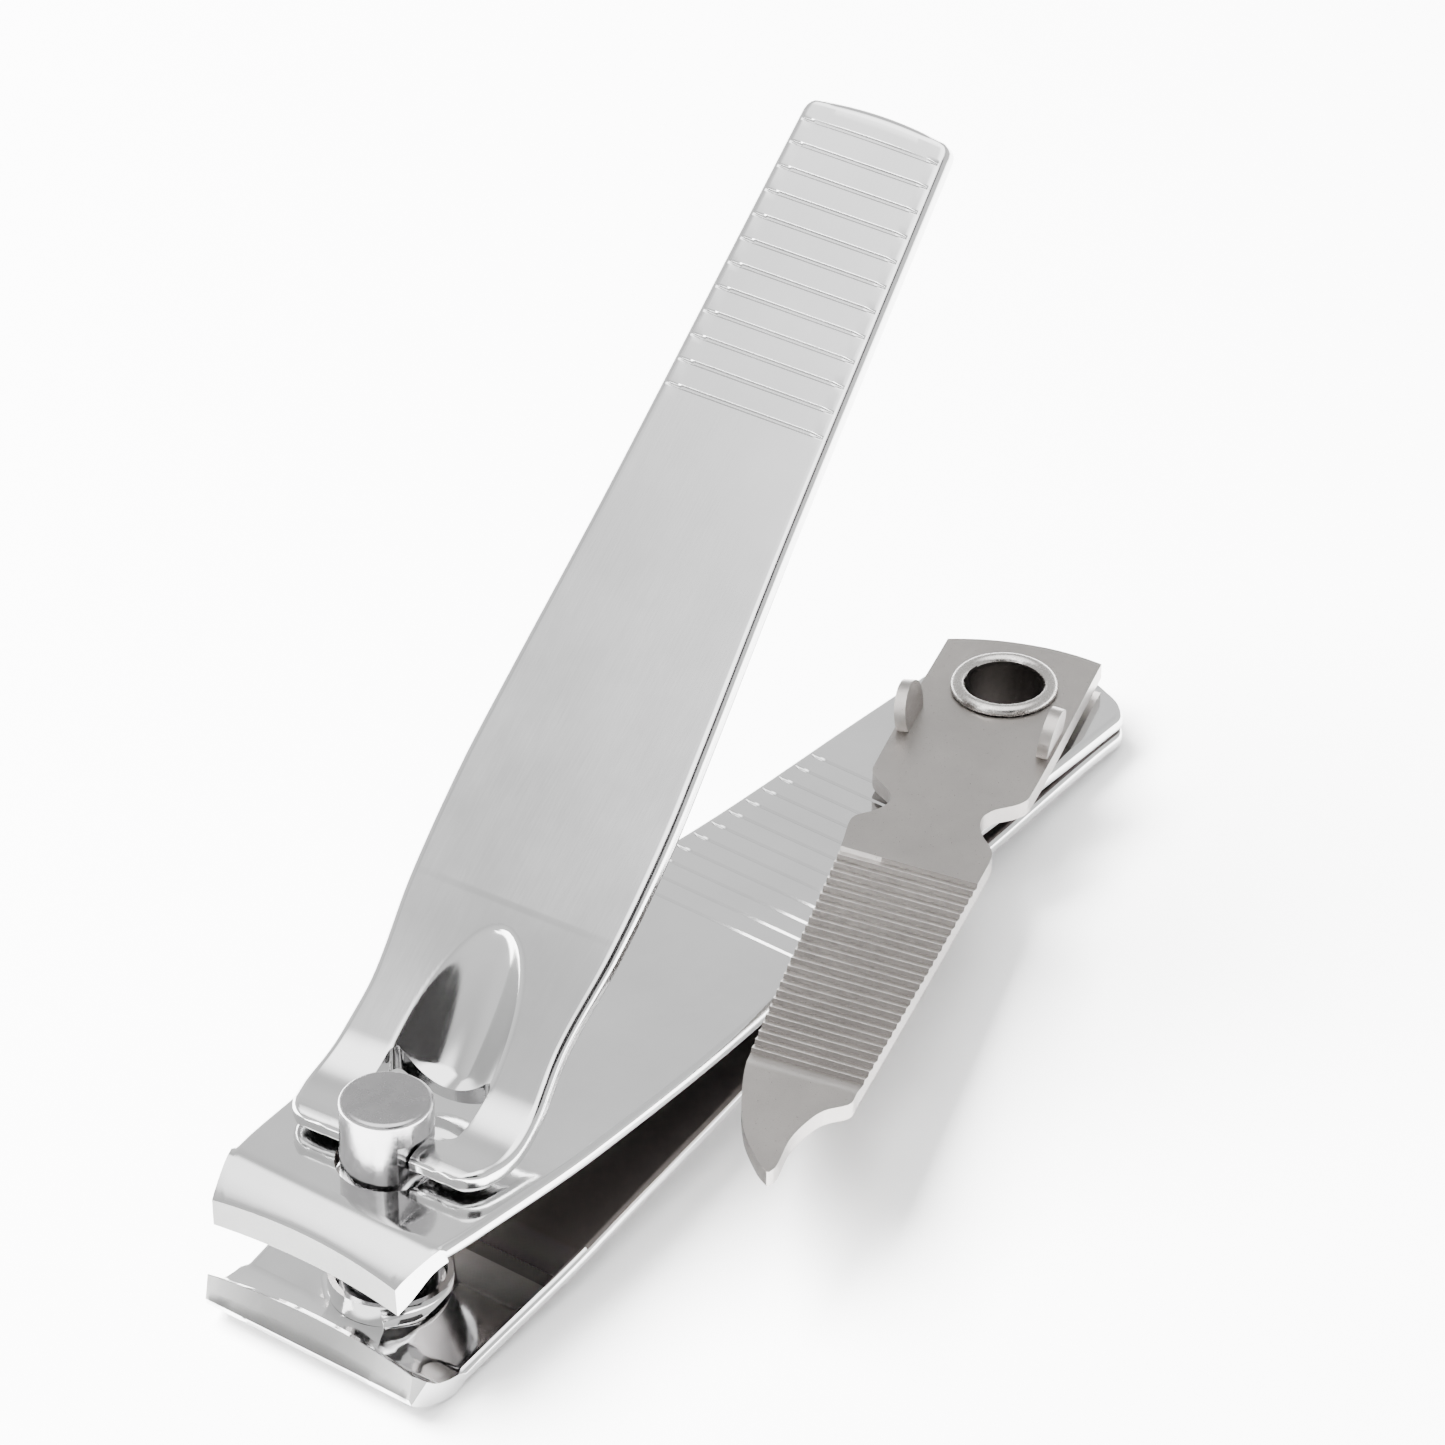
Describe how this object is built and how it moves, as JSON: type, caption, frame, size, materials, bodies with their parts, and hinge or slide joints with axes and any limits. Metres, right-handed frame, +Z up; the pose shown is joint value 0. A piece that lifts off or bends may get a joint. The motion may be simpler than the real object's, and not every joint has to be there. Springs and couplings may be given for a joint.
{
  "type": "nail clipper",
  "caption": "Lever nail clipper with two sprung leaves, a pin, a bent press lever and a swing-out file on a hollow eyelet.",
  "frame": {"origin": "on the eyelet's bore axis, at the joint between the two leaves", "axes": "+X from the jaws to the tail, +Z up from the surface that the lower leaf lies on, +Y completes a right-handed frame"},
  "size_m": [0.0609, 0.0237, 0.0402],
  "materials": {
    "leaf_chrome": "bright nickel-chrome plate on spring steel",
    "lever_chrome": "bright plate, finely brushed along the arm",
    "pin_steel": "plated turned pin with a dull cropped top",
    "eyelet_steel": "rolled steel rivet, satin",
    "file_steel": "tumbled stainless sheet with cut teeth"
  },
  "bodies": {
    "base": {"lower_leaf": "leaf_chrome", "eyelet": "eyelet_steel"},
    "top_leaf": {"upper_leaf": "leaf_chrome"},
    "pin": {"pin": "pin_steel"},
    "lever": {"lever": "lever_chrome"},
    "file": {"nail_file": "file_steel"}
  },
  "joints": [
    {"name": "jaw_close", "type": "hinge", "parent": "base", "child": "top_leaf", "pos_m": [0, 0, 0], "axis": [0, -1, 0], "range_deg": [0, 3.55], "stiffness_Nm_per_rad": 2, "springref_deg": -3.44},
    {"name": "pin_spin", "type": "hinge", "parent": "base", "child": "pin", "pos_m": [-0.0491, 0, -0.00022], "axis": [0.1063, 0, 0.9943], "continuous": true},
    {"name": "lever_press", "type": "hinge", "parent": "pin", "child": "lever", "pos_m": [-0.04826, 0, 0.00764], "axis": [-0.0789, 0.9968, 0.0084], "range_deg": [0, 34.5], "stiffness_Nm_per_rad": 0.04, "springref_deg": -28.65},
    {"name": "file_swing", "type": "hinge", "parent": "base", "child": "file", "pos_m": [0, 0, 0], "axis": [0.1261, 0, 0.992], "range_deg": [-4, 160]}
  ],
  "couplings": [
    {"joint": "jaw_close", "follows": "lever_press", "ratio": 0.1028}
  ]
}
